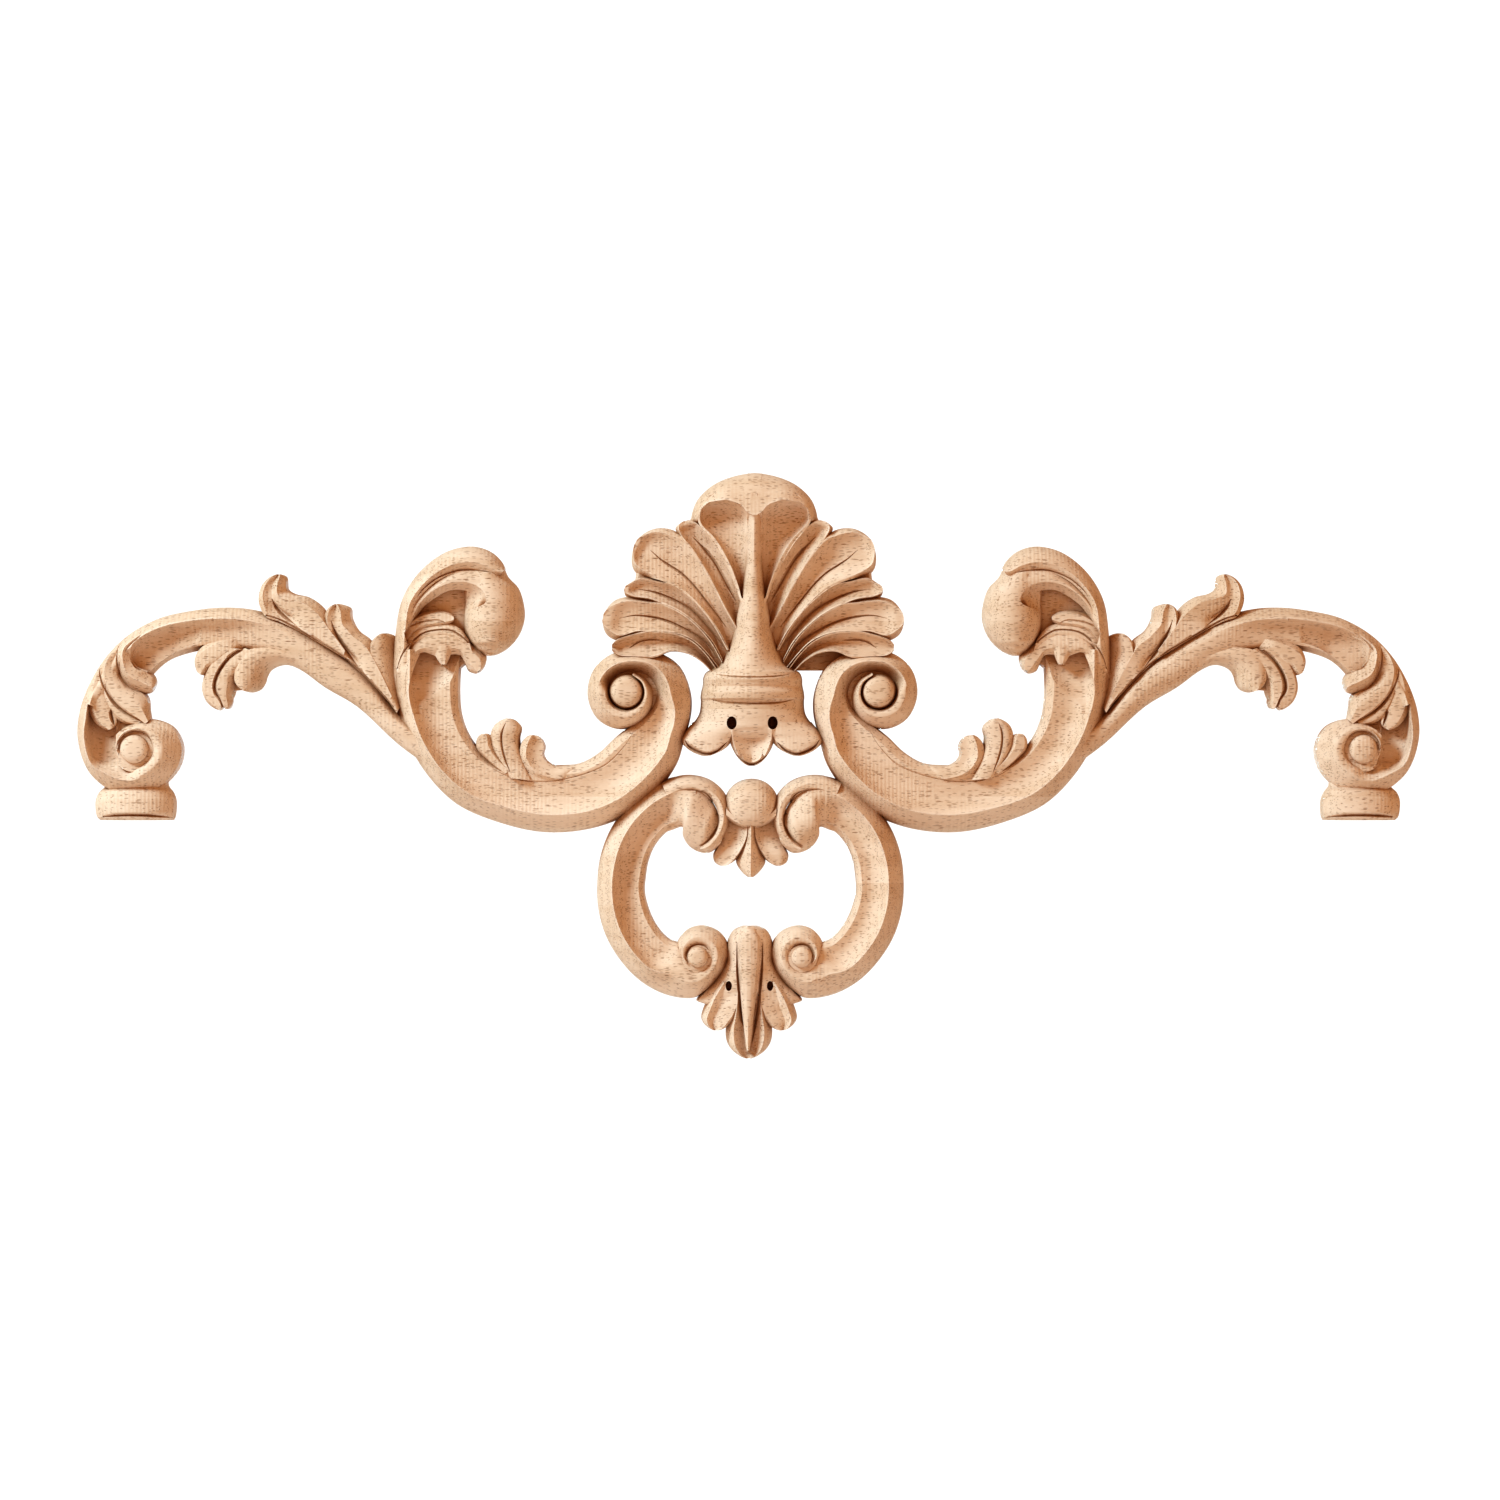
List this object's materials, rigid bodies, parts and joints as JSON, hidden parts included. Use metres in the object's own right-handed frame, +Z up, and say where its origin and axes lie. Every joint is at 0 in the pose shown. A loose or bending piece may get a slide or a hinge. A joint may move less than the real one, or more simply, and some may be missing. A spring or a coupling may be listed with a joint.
{
  "type": "carved headpiece",
  "caption": "Openwork wooden headpiece with a shell, scrolls, arched arms and a ring, flat at the back, to fix on furniture or a wall.",
  "frame": {"origin": "on the flat back, on the centre line, level with the undersides of the feet", "axes": "+X to the viewer's right along the length, +Z up, the carving looks towards -Y and the back towards +Y"},
  "size_m": [0.6708, 0.028, 0.2922],
  "materials": {
    "wood": "sanded, unfinished, open pores"
  },
  "bodies": {
    "root": {"headpiece": "wood"}
  },
  "joints": []
}
